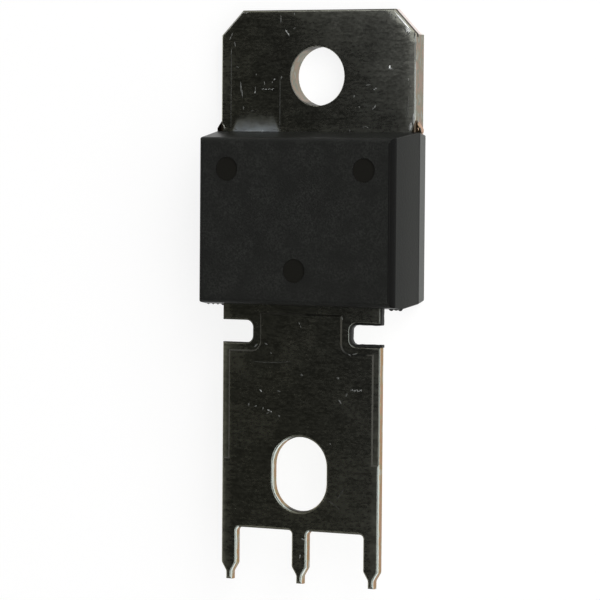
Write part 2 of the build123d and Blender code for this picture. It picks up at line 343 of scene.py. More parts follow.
def plated_finish(name, copper, rubbed, dulled, patches):
    """Nickel faces and copper walls. rubbed says where it is hazy, dulled where it has lost its
    mirror, and patches where another colour lies over it."""
    finish, tree, shader = start_finish(name)
    wall, lines = wall_share(tree), brushing(tree)
    streak, olive = fade(tree, lines, 0.30, 0.62), tarnish(tree)
    nickel = blend_colours(tree, streak, blend_colours(tree, olive, NICKEL_DULL, OLIVE_DULL),
                           blend_colours(tree, olive, NICKEL, OLIVE))
    colour = blend_colours(tree, wall, nickel, copper_colour(tree, *copper))
    feed(tree, shader.inputs["Base Color"], paint(tree, colour, patches))
    feed(tree, shader.inputs["Metallic"], minus(tree, 1.0, dulled(tree)))
    rough = plus(tree, fade(tree, lines, 0.30, 0.70, FACE_ROUGHNESS - 0.03, FACE_ROUGHNESS + 0.05),
                 times(tree, smudges(tree), SMUDGE_ROUGHER), rubbed(tree),
                 times(tree, roll_share(tree), ROLL_ROUGHER))
    feed(tree, shader.inputs["Roughness"], fade(tree, wall, 0.0, 1.0, rough, WALL_ROUGHNESS))
    shear = cloud(tree, millimetres(tree, (7.0, 7.0, 1.2)), 1.0, 2.0)
    bumped = relief(tree, times(tree, lines, minus(tree, 1.0, wall)), BRUSH_DEPTH, crisp_normal(tree))
    bumped = relief(tree, times(tree, shear, wall), SHEAR_DEPTH, bumped)
    feed(tree, shader.inputs["Normal"], bumped)
    return finish


# %% Places on the tab: the right chamfer
CHAMFER_ACROSS = 1.65  # mm, each corner cut measured along the tab's end
CHAMFER_DOWN = 1.72  # mm, and along its side
CHAMFER_LONG = math.hypot(CHAMFER_ACROSS, CHAMFER_DOWN)
CHAMFER_WAY = (CHAMFER_DOWN / CHAMFER_LONG, CHAMFER_ACROSS / CHAMFER_LONG)
CHAMFER_REACH = TAB_HALF * CHAMFER_WAY[0] + (TAB_END - CHAMFER_DOWN) * CHAMFER_WAY[1]
LIP_DEPTH = 0.34  # mm, from the tab's face down to the torn lip
BURNISH_END = 0.42  # mm above the back, where the punch stopped rubbing the wall
# Painted highlight: near white for the right chamfer's wall, a little darker on its rubbed upper part.
CHAMFER_WALL_PAINTED_HIGHLIGHT = (0.95, 0.93, 0.91)
BURNISHED_PAINTED_HIGHLIGHT = (0.80, 0.72, 0.69)
# Painted shade on the cross cuts; the same dark also marks the chamfer's torn lip and the resin bled along
# the lead.
DARK_CUT_AND_PAINTED_SHADE = (0.050, 0.046, 0.036)


def from_chamfer(tree):
    """How far a point of the tab lies inside the right chamfer, in mm."""
    x, y, _ = where(tree)
    return minus(tree, CHAMFER_REACH, plus(tree, times(tree, x, CHAMFER_WAY[0]),
                                           times(tree, y, CHAMFER_WAY[1])))


def on_chamfer(tree):
    """The roll and the wall of the right chamfer."""
    return fade(tree, from_chamfer(tree), 0.17, 0.13)


def chamfer_lip(tree):
    """The lip under the chamfer's roll, where the plating tore."""
    lip = fade(tree, where(tree)[2], TAB_FACE / MM - LIP_DEPTH - 0.04, TAB_FACE / MM - LIP_DEPTH)
    return times(tree, lip, fade(tree, facing(tree)[2], 0.55, 0.40), on_chamfer(tree))


def chamfer_wall_painted_highlight(tree):
    """Painted highlight: the chamfer's wall is painted near white, for the light it reflects."""
    return times(tree, fade(tree, true_level(tree), 0.20, 0.10),
                 fade(tree, from_chamfer(tree), 0.03, 0.01))


def chamfer_burnished_painted_highlight(tree):
    """The upper part of that wall, which the punch rubbed, where the painted highlight is a little darker.
    """
    wave = times(tree, cloud(tree, millimetres(tree), 2.0, 2.0), 0.2)
    edge = fade(tree, minus(tree, where(tree)[2], wave), BURNISH_END - 0.15, BURNISH_END)
    return times(tree, chamfer_wall_painted_highlight(tree), edge)


# %% Places on the tab: the runner's mark, with a painted reflection, and haze
RUNNER_LEFT, RUNNER_RIGHT = -6.68, -2.78  # mm, the sides of the satin mark at the body
RUNNER_LENGTH = 2.00  # mm, where it has faded out on the tab
RUNNER_LEAN = 0.40  # how much each side draws in, per mm
RUNNER_FALL = 2.1  # how fast it fades: 1 is evenly
RUNNER_HAZE = 0.34
RUNNER_SATIN_PAINTED_REFLECTION = (0.45, 0.485, 0.50)


def runner_mark_and_painted_reflection(tree):
    """The satin patch that the mould's runner left on the tab: rougher, and painted lighter as a reflection,
    brightest at the body.
    """
    x, y, _ = where(tree)
    wave = fade(tree, cloud(tree, millimetres(tree), 1.8, 3.0), 0.2, 0.8, -0.15, 0.15)
    up = minus(tree, y, BODY_TOP)
    lean = times(tree, up, RUNNER_LEAN)
    left = fade(tree, minus(tree, minus(tree, x, RUNNER_LEFT), lean), -0.05, 0.30)
    right = fade(tree, minus(tree, minus(tree, RUNNER_RIGHT, x), lean), -0.05, 0.30)
    length = calc(tree, "POWER", fade(tree, plus(tree, up, wave), RUNNER_LENGTH, 0.0), RUNNER_FALL)
    return times(tree, left, right, fade(tree, facing(tree)[2], 0.90, 0.97), length)


def tab_rubbed(tree):
    """Haze on the tab. Each row is what it follows, where it starts and is full, and how much."""
    x, y, _ = where(tree)
    corner = plus(tree, x, y)
    wave = fade(tree, cloud(tree, millimetres(tree), 2.2, 3.0), 0.2, 0.8, -0.24, 0.24)
    rows = [
        (corner, -1.0, 9.0, 0.09),
        (corner, 7.0, 11.5, 0.04),
        (x, 4.5, TAB_HALF, 0.025),
        (x, TAB_HALF - 1.1, TAB_HALF, 0.10),
        (x, -TAB_HALF + 1.3, -TAB_HALF + 0.2, 0.04),
        (y, BODY_TOP + 0.5, BODY_TOP + 0.1, 0.03),
        (y, TAB_END - 0.9, TAB_END, 0.055),
        (plus(tree, from_chamfer(tree), wave), 0.75, 0.15, 0.30),
    ]
    return plus(tree, *(fade(tree, value, start, full, 0.0, haze) for value, start, full, haze in rows),
                times(tree, runner_mark_and_painted_reflection(tree), RUNNER_HAZE))


# %% Places on the tab: its dulled roll, painted matt on the side the light falls on
# Painted light: the rolls that face right, where the light falls, get these matt colours, while the rolls
# that face left keep the nickel mirror.
TAB_ROLL = (0.235, 0.250, 0.235)
ROLL_DARK = (0.125, 0.130, 0.120)
ROLL_PAINTED_HIGHLIGHT = (0.34, 0.36, 0.33)
RIM_ROLL_PAINTED_SHADE = (0.085, 0.088, 0.078)
DARK_FOOT, DARK_TOP = 0.6, 2.5  # mm, both ends of the darker length
BRIGHT_TOP = -2.3  # mm, from here down it is brighter
HOLE_RIM = 2.35  # mm, everything nearer the hole's axis is its rim


def tab_dulled(tree):
    """The right-facing roll has lost its mirror everywhere but on the chamfer, whose wall carries the
    painted highlight.
    """
    return times(tree, right_roll_share(tree), minus(tree, 1.0, on_chamfer(tree)))


def tab_roll_dark(tree):
    """A length of the right roll that is darker."""
    y = where(tree)[1]
    return times(tree, tab_dulled(tree), fade(tree, y, DARK_FOOT, DARK_FOOT + 0.6),
                 fade(tree, y, DARK_TOP, DARK_TOP - 0.3))


def tab_roll_painted_highlight(tree):
    """Painted highlight: beside the ear the roll is painted brighter."""
    return times(tree, tab_dulled(tree), fade(tree, where(tree)[1], BRIGHT_TOP, BRIGHT_TOP - 0.7))


def tab_rim_painted_shade(tree):
    """Painted shade: the same roll round the hole, painted dark."""
    x, y, _ = where(tree)
    square = plus(tree, times(tree, x, x), times(tree, y, y))
    return times(tree, right_roll_share(tree), fade(tree, square, HOLE_RIM ** 2 + 0.2, HOLE_RIM ** 2))


# %% Places on the tab: its ears
CLEAN_COPPER = (0.50, 0.33, 0.23)
# Dark brown: a resin stain beside the left ear, and painted shadow in a slanted band beside the right one.
BROWN_STAIN_AND_PAINTED_SHADOW = (0.070, 0.050, 0.030)
TORN_TOP, TORN_LEFT = -3.02, 7.49  # mm, where the clean copper begins
SHADOW_TOP_RIGHT, STAIN_TOP_LEFT = -2.98, -3.16  # mm, where the painted shadow begins beside the right ear, and the stain beside the left one
STAIN_LEFT = -7.30  # mm, the left one lies outside this
STAIN_AND_SHADOW_FOOT = 0.86  # mm above the back, where both end
SHADOW_INNER, SHADOW_OUTER = 8.32, 6.15  # mm, where the band's two borders would cross y = 0
INNER_LEAN, OUTER_LEAN = 0.30, 0.45  # and how far each leans over for each mm down


def ear_torn(tree):
    """The slanted side of the right ear tore off the carrier, and shows clean copper."""
    x, y, _ = where(tree)
    return times(tree, wall_share(tree), fade(tree, y, TORN_TOP, TORN_TOP - 0.12),
                 fade(tree, x, TORN_LEFT, TORN_LEFT + 0.03))


def ear_stain_and_painted_shadow(tree):
    """Resin has bled over the tab's edge beside the left ear; beside the right one lies a slanted band of
    painted shadow.
    """
    x, y, z = where(tree)
    inner = minus(tree, x, times(tree, y, INNER_LEAN))
    outer = plus(tree, x, times(tree, y, OUTER_LEAN))
    right = times(tree, fade(tree, inner, SHADOW_INNER, SHADOW_INNER + 0.04),
                  fade(tree, outer, SHADOW_OUTER, SHADOW_OUTER - 0.06),
                  fade(tree, y, SHADOW_TOP_RIGHT, SHADOW_TOP_RIGHT - 0.08))
    left = times(tree, fade(tree, x, STAIN_LEFT, STAIN_LEFT - 0.04),
                 fade(tree, y, STAIN_TOP_LEFT, STAIN_TOP_LEFT - 0.08))
    return times(tree, plus(tree, left, right), fade(tree, z, STAIN_AND_SHADOW_FOOT, STAIN_AND_SHADOW_FOOT + 0.08))


# %% Places on the lead
# Painted light: the lead's right-facing rolls get these matt colours, as the light falls on that side; those
# that face left keep the nickel mirror.
LEAD_ROLL = (0.42, 0.47, 0.435)
SHOULDER_ROLL_PAINTED_HIGHLIGHT = (0.70, 0.76, 0.72)
COINED_ROLL = (0.21, 0.23, 0.20)
# Painted shade and painted highlight on the coined step: dark where it faces right, lighter where it faces
# left.
STEP_PAINTED_SHADE = (0.062, 0.062, 0.054)
STEP_PAINTED_HIGHLIGHT = (0.28, 0.275, 0.24)
SLOT_STEP = (0.040, 0.041, 0.037)
BORDER_FOOT = -26.55  # mm, where the coined border of the lead ends
BLEED_LENGTH = 2.75  # mm of lead that the resin has bled along
SLOT_FOOT = -18.6  # mm, just below the side slots
NECK_HAZE_FOOT = -22.5  # mm, where the haze below the left slot ends
DULL_LEFT, DULL_RIGHT = 0.2, 5.2  # mm, the step is duller between these


def lead_rubbed(tree):
    """Haze on the lead, in rows as for the tab, and two more patches below the left slot."""
    x, y, _ = where(tree)
    neck = times(tree, fade(tree, x, -3.9, -5.0, 0.0, 0.05), fade(tree, y, SLOT_FOOT + 0.2, SLOT_FOOT - 0.1),
                 fade(tree, y, NECK_HAZE_FOOT, NECK_HAZE_FOOT + 3.0))
    edge = times(tree, fade(tree, x, -LEAD_HALF + 0.42, -LEAD_HALF + 0.22, 0.0, 0.075),
                 fade(tree, y, SLOT_FOOT, SLOT_FOOT - 0.3))
    rows = [
        (minus(tree, x, y), 20.0, 38.0, 0.04),
        (x, -LEAD_HALF + 0.95, -LEAD_HALF + 0.4, 0.06),
        (x, LEAD_HALF - 0.8, LEAD_HALF - 0.4, 0.055),
    ]
    return plus(tree, *(fade(tree, value, start, full, 0.0, haze) for value, start, full, haze in rows),
                edge, neck)


def lead_dulled(tree):
    """The right-facing roll has lost its mirror, but not the coined step."""
    return times(tree, right_roll_share(tree), minus(tree, 1.0, step_share(tree)))


def coined_roll(tree):
    """The coining pressed the right edge down as well, and left its roll darker."""
    x, y, _ = where(tree)
    return times(tree, right_roll_share(tree), fade(tree, x, LEAD_HALF - 0.25, LEAD_HALF - 0.15),
                 fade(tree, y, BORDER_FOOT - 0.05, BORDER_FOOT + 0.05))


def slot_step(tree):
    """The step's part round the right slot is duller."""
    x = where(tree)[0]
    return times(tree, step_share(tree), fade(tree, x, DULL_LEFT, DULL_LEFT + 0.3),
                 fade(tree, x, DULL_RIGHT, DULL_RIGHT - 0.3))


def lead_stained(tree):
    """Resin bled along the lead's edges as far as the slots, and turned them dark."""
    x, y, _ = where(tree)
    reach = fade(tree, x, LEAD_HALF - 0.6, LEAD_HALF - 0.3, 0.96, 0.62)
    edge = fade(tree, minus(tree, facing(tree)[2], reach), 0.0, -0.10)
    return times(tree, edge, fade(tree, y, BODY_BOTTOM - BLEED_LENGTH, BODY_BOTTOM - BLEED_LENGTH + 0.3))


# %% Make both plated finishes
tab_patches = [
    (tab_dulled, TAB_ROLL), (tab_roll_dark, ROLL_DARK), (tab_roll_painted_highlight, ROLL_PAINTED_HIGHLIGHT),
    (tab_rim_painted_shade, RIM_ROLL_PAINTED_SHADE), (cross_cut_painted_shade, DARK_CUT_AND_PAINTED_SHADE), (chamfer_wall_painted_highlight, CHAMFER_WALL_PAINTED_HIGHLIGHT),
    (chamfer_burnished_painted_highlight, BURNISHED_PAINTED_HIGHLIGHT), (chamfer_lip, DARK_CUT_AND_PAINTED_SHADE), (ear_torn, CLEAN_COPPER),
    (ear_stain_and_painted_shadow, BROWN_STAIN_AND_PAINTED_SHADOW), (runner_mark_and_painted_reflection, RUNNER_SATIN_PAINTED_REFLECTION),
]
lead_patches = [
    (right_roll_share, LEAD_ROLL), (coined_roll, COINED_ROLL), (shoulder_roll_painted_highlight, SHOULDER_ROLL_PAINTED_HIGHLIGHT),
    (step_share, STEP_PAINTED_SHADE), (left_step_painted_highlight, STEP_PAINTED_HIGHLIGHT), (slot_step, SLOT_STEP),
    (cross_cut_painted_shade, DARK_CUT_AND_PAINTED_SHADE), (lead_stained, DARK_CUT_AND_PAINTED_SHADE),
]
tab_finish = plated_finish("tab_plating", TAB_COPPER, tab_rubbed, tab_dulled, tab_patches)
lead_finish = plated_finish("lead_plating", LEAD_COPPER, lead_rubbed, lead_dulled, lead_patches)
for made in (tab_finish, lead_finish):
    print(f"{made.name}: {len(made.node_tree.nodes)} nodes")

# %% [markdown]
# ## Moulded resin
# The body is epoxy filled with ground silica. It is black, a little dusty, and matt, because the
# mould is spark eroded and prints its grain on the resin. The ejector pins are ground steel, so
# the three round pits are smoother, and look darker than the face round them.

# %% Colours and places of the resin
RESIN_DARK = (0.0140, 0.0144, 0.0133)
RESIN_DUSTY = (0.0262, 0.0272, 0.0250)
RESIN_RIGHT_WALL_PAINTED_SHADE = (0.0075, 0.0082, 0.0070)  # the walls that face right, painted darker as shade, a little less dark towards the back
RESIN_RIGHT_WALL_LOW_PAINTED_SHADE = (0.0125, 0.0132, 0.0115)
RESIN_EDGE_PAINTED_SHADE = (0.003, 0.003, 0.0028)
RESIN_BACK = (0.050, 0.054, 0.048)
RESIN_SNAPPED = (0.42, 0.45, 0.46)
PIT_COLOUR = (0.0122, 0.0119, 0.0100)
PIT_FLOOR = BODY_FACE / MM - 0.06  # mm
# The next two bound painted shade: on the right front edge, and on the top wall's foot above the tab.
EDGE_END = BODY_FACE / MM - 0.52  # mm, down to here the right front edge stays dark
LEDGE_END = TAB_FACE / MM + 0.06  # mm, the top wall is dark from here down to the tab
GATE_STUB = 0.03  # mm, the broken gate stands this far out of the top wall


def resin_drawn(tree):
    """The walls, front half and back half."""
    return fade(tree, facing(tree)[2], 0.30, 0.15)


def resin_right_wall_painted_shade(tree):
    """Those of them that face right, painted darker: painted shade."""
    return times(tree, resin_drawn(tree), fade(tree, turned(tree)[0], 0.3, 0.6))


def resin_rounded(tree):
    """The rounded front edge where it faces right."""
    return times(tree, fade(tree, turned(tree)[0], 0.04, 0.20),
                 fade(tree, where(tree)[2], EDGE_END, EDGE_END + 0.05))


def resin_edges_painted_shade(tree):
    """Painted shade on that edge, and on the foot of the walls just above the tab."""
    foot = times(tree, fade(tree, where(tree)[2], LEDGE_END + 0.10, LEDGE_END),
                 fade(tree, turned(tree)[2], 0.0, 0.05))
    return calc(tree, "MAXIMUM", resin_rounded(tree), foot)


def resin_back(tree):
    """The walls' back half, which leans the other way."""
    return times(tree, fade(tree, turned(tree)[2], -0.06, -0.16), resin_drawn(tree))


def resin_snapped(tree):
    """The end of the gate stub, where it broke."""
    return fade(tree, minus(tree, where(tree)[1], BODY_TOP - GATE_STUB), -0.004, 0.004)


def in_pit(tree):
    """The flat floors of the round pits."""
    off_floor = calc(tree, "ABSOLUTE", minus(tree, where(tree)[2], PIT_FLOOR))
    return times(tree, fade(tree, turned(tree)[2], 0.90, 0.97), fade(tree, off_floor, 0.05, 0.03))


# %% The resin finish
GRAIN_DEPTH = 0.012  # mm


def resin_finish(name):
    finish, tree, shader = start_finish(name)
    grain = cloud(tree, millimetres(tree), 8.0, 4.0)
    patches = cloud(tree, millimetres(tree), 0.6, 3.0)
    dust_and_painted_highlight = times(tree, fade(tree, grain, 0.35, 0.70), fade(tree, patches, 0.2, 0.7))
    x, _, height = where(tree)
    # Painted highlight: the body's left end is painted dustier, so lighter, for the light its top wall
    # reflects there.
    dust_and_painted_highlight = calc(tree, "MAXIMUM", dust_and_painted_highlight, fade(tree, x, -TAB_HALF + 0.6, -TAB_HALF, 0.0, 0.8))
    right_wall_shade_colour = blend_colours(tree, fade(tree, height, 4.2, 1.6), RESIN_RIGHT_WALL_PAINTED_SHADE, RESIN_RIGHT_WALL_LOW_PAINTED_SHADE)
    feed(tree, shader.inputs["Base Color"], paint(
        tree, blend_colours(tree, dust_and_painted_highlight, RESIN_DARK, RESIN_DUSTY), [
            (resin_right_wall_painted_shade, right_wall_shade_colour), (resin_edges_painted_shade, RESIN_EDGE_PAINTED_SHADE), (resin_back, RESIN_BACK),
            (resin_snapped, RESIN_SNAPPED), (in_pit, PIT_COLOUR)]))
    rough = fade(tree, grain, 0.2, 0.8, 0.52, 0.66)
    for share, patch_roughness in ((resin_drawn, 0.36), (resin_rounded, 0.85), (in_pit, 0.36)):
        rough = fade(tree, share(tree), 0.0, 1.0, rough, patch_roughness)
    feed(tree, shader.inputs["Roughness"], rough)
    rest = minus(tree, 1.0, in_pit(tree))
    feed(tree, shader.inputs["Normal"], relief(tree, times(tree, grain, rest), GRAIN_DEPTH))
    shader.inputs["Specular IOR Level"].default_value = 0.13
    return finish


body_finish = resin_finish("moulded_resin")
print(f"{body_finish.name}: {len(body_finish.node_tree.nodes)} nodes")

# %% [markdown]
# ## What the resin hides
# The die, its solder and the bond wires are sealed in. Nobody sees them unless the body is cut
# open or hidden, but each still gets the finish of its real material, so a cutaway looks right.

# %% Finishes for the buried pieces
def buried_finish(name, dark, light, per_mm, metallic, roughness):
    finish, tree, shader = start_finish(name)
    pattern = cloud(tree, millimetres(tree), per_mm, 3.0)
    feed(tree, shader.inputs["Base Color"],
         blend_colours(tree, fade(tree, pattern, 0.35, 0.65), dark, light))
    shader.inputs["Metallic"].default_value = metallic
    feed(tree, shader.inputs["Roughness"], fade(tree, pattern, 0.3, 0.7, roughness, roughness + 0.12))
    feed(tree, shader.inputs["Normal"], relief(tree, pattern, 0.003))
    return finish


die_finish = buried_finish("silicon", (0.10, 0.105, 0.13), (0.20, 0.21, 0.25), 1.5, 0.6, 0.12)
solder_finish = buried_finish("solder", (0.42, 0.42, 0.43), (0.60, 0.60, 0.61), 4.0, 1.0, 0.35)
wire_finish = buried_finish("wire_aluminium", (0.72, 0.72, 0.73), (0.86, 0.86, 0.87), 6.0, 1.0, 0.22)
print("buried finishes:", die_finish.name, solder_finish.name, wire_finish.name)

# %% Put each finish on its CAD node
finish_of = {
    "cathode_tab": tab_finish,
    "anode_lead": lead_finish,
    "epoxy_body": body_finish,
    "silicon_die": die_finish,
    "die_attach_solder": solder_finish,
}
for name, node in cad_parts.items():
    node.data.materials.clear()
    node.data.materials.append(finish_of.get(name, wire_finish))
    print(f"{name}: {node.data.materials[0].name}, {len(node.data.polygons)} faces")

# %% [markdown]
# ## Marks that stand up from the plating
# A scratch or a scuff on plated sheet is a low ridge of pushed-up metal, thinner than a hair. A
# bump map could fake one, but it would be missing from the mesh, so each is a real sliver: a crest
# with two slopes that run out to a point at both ends. Its right slope catches the key light and
# shines against the dark face, as on the real strip. Marks are listed one by one, in millimetres.

# %% One sliver of metal
SINK = 0.006  # mm, how far a mark reaches into the surface below it


def stitch(mesh, rings):
    """Joins each ring of corners to the next."""
    for one, two in zip(rings, rings[1:]):
        for k in range(len(one)):
            mesh.faces.new((one[k], one[(k + 1) % len(one)], two[(k + 1) % len(one)], two[k]))


def spindle(mesh, rings, tips):
    """Stitches the rings, and runs out to a point at both ends."""
    stitch(mesh, rings)
    for ring, place in zip((rings[0], rings[-1]), tips):
        tip = mesh.verts.new(place)
        for k in range(len(ring)):
            mesh.faces.new((tip, ring[k], ring[(k + 1) % len(ring)]))


def ridge(mesh, path, half_width, rise, level, taper=1.0):
    """A closed ridge along (x, y) points in mm. taper is the share of its length that narrows."""
    last = len(path) - 1
    rows = []
    for number in range(1, last):
        (x, y), before, after = path[number], Vector(path[number - 1]), Vector(path[number + 1])
        along = (after - before).normalized()
        size = min(1.0, 2 * min(number, last - number) / (last * taper)) ** 0.6
        side = Vector((along.y, -along.x)) * half_width * size
        rows.append([mesh.verts.new(Vector((px, py, level / MM + pz)) * MM) for px, py, pz in (
            (x - side.x, y - side.y, -SINK), (x, y, rise * size), (x + side.x, y + side.y, -SINK))])
    spindle(mesh, rows, [(x * MM, y * MM, level) for x, y in (path[0], path[last])])


def straight(x, y, length, turn, points=5):
    """Points in mm along a line centred on (x, y). turn is in degrees from +X."""
    way = Vector((math.cos(math.radians(turn)), math.sin(math.radians(turn)))) * length
    return [tuple(Vector((x, y)) + way * (number / (points - 1) - 0.5)) for number in range(points)]


def between(start, end, points=9, bow=0.0):
    """Points in mm from start to end, bowed sideways in the middle."""
    start, end = Vector(start), Vector(end)
    side = Vector((start.y - end.y, end.x - start.x)).normalized() * bow
    return [tuple(start.lerp(end, number / (points - 1)) + side * math.sin(math.pi * number / (points - 1)))
            for number in range(points)]


# %% Turn a mesh into a piece
def piece_of(name, mesh, finish):
    """A finished piece that rides on the part and takes its finish from a slot."""
    bmesh.ops.recalc_face_normals(mesh, faces=mesh.faces)
    data = bpy.data.meshes.new(name)
    mesh.to_mesh(data)
    mesh.free()
    data.materials.append(finish)
    piece = bpy.data.objects.new(name, data)
    bpy.context.scene.collection.objects.link(piece)
    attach(piece, "root")
    print(f"{name}: {len(data.polygons)} faces")


# %% Finishes for the marks
def mark_finish(name, dark, light):
    """Plating crushed so fine that it has lost its mirror and is plain grey."""
    finish, tree, shader = start_finish(name)
    patches = cloud(tree, millimetres(tree), 5.0, 3.0)
    feed(tree, shader.inputs["Base Color"],
         blend_colours(tree, fade(tree, patches, 0.35, 0.65), dark, light))
    feed(tree, shader.inputs["Roughness"], fade(tree, patches, 0.3, 0.7, 0.55, 0.70))
    feed(tree, shader.inputs["Normal"], relief(tree, patches, 0.004))
    shader.inputs["Specular IOR Level"].default_value = 0.2
    return finish


bright_scuff = mark_finish("bright_scuff", (0.17, 0.175, 0.17), (0.30, 0.31, 0.305))
faint_scuff = mark_finish("faint_scuff", (0.070, 0.072, 0.068), (0.120, 0.123, 0.117))
hair_scratch = mark_finish("hair_scratch", (0.034, 0.035, 0.032), (0.062, 0.064, 0.059))
# The next two are painted highlights: pale matt ridges that stand in for the light on the rolled edges of
# the corner cuts and the left ear.
burr_faint_painted_highlight = mark_finish("burr_faint_painted_highlight", (0.25, 0.25, 0.23), (0.36, 0.36, 0.33))
burr_bright_painted_highlight = mark_finish("burr_bright_painted_highlight", (0.62, 0.64, 0.63), (0.95, 0.97, 0.96))

# %% [markdown]
# ## Witness lines on the tab
# The tab slid between the guides of the press. Two of them left a straight line each along it, and
# a third left two short ones near the right edge. All are so faint that they only show where the
# light grazes.

# %% Draw the witness lines
WITNESS_LEFT = -6.71  # mm, like the four below
WITNESS_RIGHT = -2.88
WITNESS_EDGE = 6.92
LINE_HALF_WIDTH = 0.035
LINE_RISE = 0.014

lines = bmesh.new()
for x, low, high in ((WITNESS_LEFT, BODY_TOP, 2.05), (WITNESS_RIGHT, BODY_TOP, -0.03),
                     (WITNESS_EDGE, -3.10, -1.30), (WITNESS_EDGE - 0.11, -2.90, -1.75)):
    ridge(lines, between((x, low), (x, high), 15), LINE_HALF_WIDTH, LINE_RISE, TAB_FACE, taper=0.3)
piece_of("witness_lines", lines, hair_scratch)

# %% [markdown]
# ## Scuffs
# Handling leaves short scuffs. Each row below is one: its middle, length and width in millimetres,
# and the way it points in degrees. The sharp ones are bright, and the shallow ones are only a
# little lighter than the plating. A wide smear is a row of short slivers side by side.

# %% Scuffs from rows of numbers
SCUFF_SLOPE = 0.5  # crest height for each unit of half width


def scuff(mesh, x, y, length, width, turn, level):
    ridge(mesh, straight(x, y, length, turn, 7), width / 2, width / 2 * SCUFF_SLOPE, level)


def smear(mesh, x, y, length, height, level, step=0.085):
    """Short upright slivers in a row, centred on (x, y)."""
    count = max(2, round(length / step))
    for number in range(count):
        place = x + length * (number / (count - 1) - 0.5)
        tall = height * (0.7 + 0.3 * math.sin(2.7 * number))
        scuff(mesh, place, y + 0.2 * height * math.sin(1.9 * number), tall, step, 90, level)


def scuffs(name, rows, smears, level, finish):
    mesh = bmesh.new()
    for x, y, length, width, turn in rows:
        scuff(mesh, x, y, length, width, turn, level)
    for x, y, length, height in smears:
        smear(mesh, x, y, length, height, level)
    piece_of(name, mesh, finish)


# %% Scuffs on the tab
scuffs("tab_scuffs", [
    (-2.42, 3.11, 0.30, 0.15, -53), (-2.28, 2.93, 0.30, 0.14, -53), (5.58, 0.50, 0.18, 0.12, 40),
    (-3.32, -0.22, 0.20, 0.12, 50), (4.33, -0.92, 0.18, 0.10, 22),
    (4.46, -0.86, 0.18, 0.11, 30), (-4.83, -1.10, 0.22, 0.10, 88), (4.40, -2.10, 0.24, 0.09, 70),
    (-1.81, 4.34, 0.20, 0.08, 90), (6.92, -0.23, 0.24, 0.05, 90), (-2.85, 3.97, 0.60, 0.06, 90),
], [(-4.12, -0.90, 0.30, 0.12), (-3.58, -0.90, 0.42, 0.14), (-5.66, 4.44, 0.44, 0.12)],
    TAB_FACE, bright_scuff)

scuffs("tab_faint_scuffs", [
    (-5.95, -0.75, 0.80, 0.15, 93), (-5.84, -1.20, 0.60, 0.13, 96), (-4.81, -0.85, 0.34, 0.09, 94),
    (-6.80, 2.68, 0.30, 0.12, 63), (-6.68, 2.92, 0.30, 0.12, 63), (-6.44, 2.26, 0.40, 0.12, 105),
    (-6.71, 1.68, 0.50, 0.08, 85), (-6.23, 0.65, 0.20, 0.12, -21), (-5.73, -2.21, 0.32, 0.11, 95),
    (-4.10, -0.47, 0.28, 0.10, 96), (-3.48, -0.42, 0.18, 0.10, 60), (-2.78, -0.10, 0.26, 0.14, 71),
    (4.25, -2.24, 0.24, 0.12, 60), (3.89, -0.61, 0.40, 0.15, 9), (5.70, 0.48, 0.16, 0.09, 60),
    (3.52, -3.54, 0.18, 0.10, 45), (3.69, -3.46, 0.22, 0.10, 0), (3.86, -3.55, 0.18, 0.10, -50),
    (2.81, -1.40, 0.20, 0.14, 69), (3.22, -2.13, 0.17, 0.15, 110), (2.50, -3.75, 0.16, 0.12, 90),
    (-6.36, -3.71, 0.30, 0.10, -17), (-5.05, -2.42, 0.30, 0.07, 0), (-4.75, 0.12, 0.14, 0.09, 90),
    (-1.80, 3.32, 0.24, 0.10, 20), (7.05, -0.70, 0.16, 0.07, 90),
], [(-3.08, -3.72, 0.50, 0.08)], TAB_FACE, faint_scuff)

hairlines = bmesh.new()
for start, end in (((3.40, -2.12), (4.42, -2.00)), ((6.60, -2.20), (7.30, -2.02))):
    ridge(hairlines, between(start, end), 0.03, 0.010, TAB_FACE, taper=0.5)
piece_of("tab_hairlines", hairlines, hair_scratch)

# %% Scuffs on the lead
scuffs("lead_scuffs", [
    (-3.03, -21.83, 0.26, 0.12, -44), (-2.42, -23.17, 0.22, 0.12, -24),
    (-2.22, -23.26, 0.20, 0.10, -30), (0.30, -31.99, 0.30, 0.12, -20), (0.09, -33.19, 0.32, 0.10, 77),
], [(4.27, -21.52, 0.78, 0.17)], LEAD_FACE, bright_scuff)

scuffs("lead_faint_scuffs", [
    (3.04, -22.35, 0.38, 0.17, -55), (3.54, -21.85, 0.32, 0.13, 65), (2.88, -20.73, 0.24, 0.19, -19),
    (-1.64, -21.81, 0.30, 0.12, -15), (0.10, -20.62, 0.24, 0.16, -12), (-2.65, -18.56, 0.26, 0.14, -32),
    (-3.45, -18.70, 0.38, 0.13, 43), (-0.10, -17.06, 0.22, 0.12, -66), (-1.60, -23.53, 0.18, 0.15, -45),
    (-2.85, -23.05, 0.22, 0.14, 67), (-3.42, -22.92, 0.24, 0.12, 23), (4.15, -19.02, 0.44, 0.10, 16),
    (3.74, -19.10, 0.26, 0.09, -33), (-2.26, -19.19, 0.16, 0.11, -21), (-2.48, -23.36, 0.24, 0.10, 20),
    (2.33, -25.28, 0.16, 0.12, -46), (3.14, -16.58, 0.30, 0.10, -70), (0.02, -17.30, 0.20, 0.07, -66),
    (-3.97, -22.83, 0.24, 0.16, 73),
], [], LEAD_FACE, faint_scuff)

scratches = bmesh.new()
for start, end, bow in (((-3.80, -19.80), (-0.40, -19.67), -0.10), ((3.49, -28.19), (2.82, -29.13), 0.03),
                        ((2.14, -29.17), (3.13, -29.80), 0.03)):
    ridge(scratches, between(start, end, 15, bow), 0.03, 0.012, LEAD_FACE, taper=0.5)
piece_of("lead_scratches", scratches, hair_scratch)

# %% [markdown]
# ## Worn edges of the tab
# The punch left a fine burr along both corner cuts. Each carries a painted highlight: a faint one on
# the left, and on the right a bright one, with a rough patch where the corner was knocked. One more
# burr, with the faint painted highlight, crosses the left ear, where the ear was sheared off its carrier.

